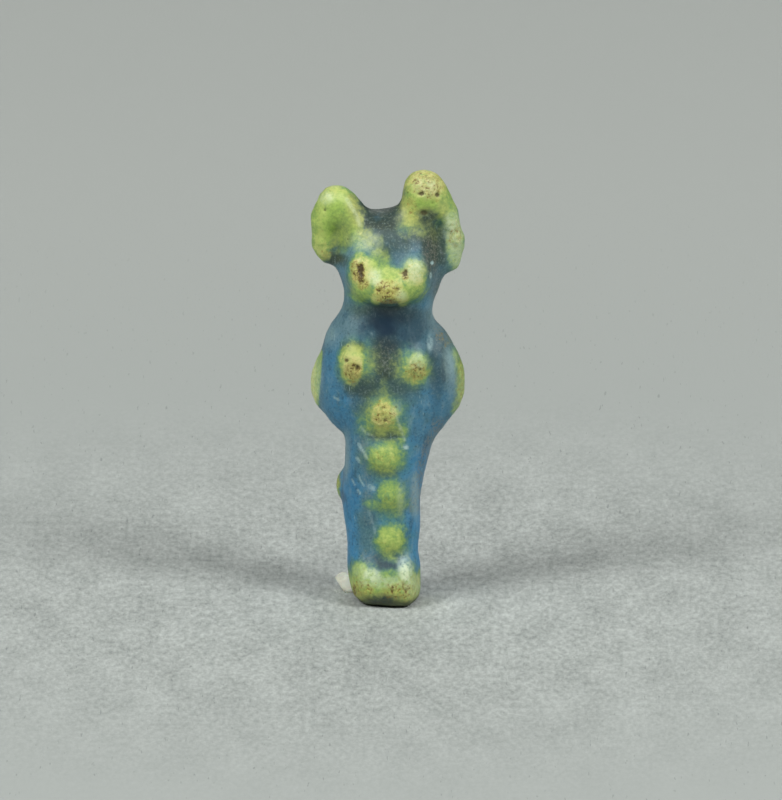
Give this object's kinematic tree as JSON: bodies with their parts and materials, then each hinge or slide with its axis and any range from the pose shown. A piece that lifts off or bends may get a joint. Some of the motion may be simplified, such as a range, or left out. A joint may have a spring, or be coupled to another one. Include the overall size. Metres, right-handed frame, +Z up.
{
  "type": "anubis amulet",
  "caption": "Small standing jackal-headed amulet in blue glazed composition with yellow-green raised knobs, a pierced back pillar and a chip of mounting wax behind its foot.",
  "frame": {"origin": "on the flat underside of the foot, below the middle of the body", "axes": "+Z up from the underside to the ears, the figure faces -Y, and its own right side is towards -X"},
  "size_m": [0.0077, 0.0054, 0.0221],
  "materials": {
    "blue_glaze": "worn blue glaze with yellow-green glaze on the raised knobs, ears and foot, pitted and speckled brown",
    "wax": "dull ivory mounting wax"
  },
  "bodies": {
    "root": {"anubis_figure": "blue_glaze", "mounting_wax": "wax"}
  },
  "joints": []
}
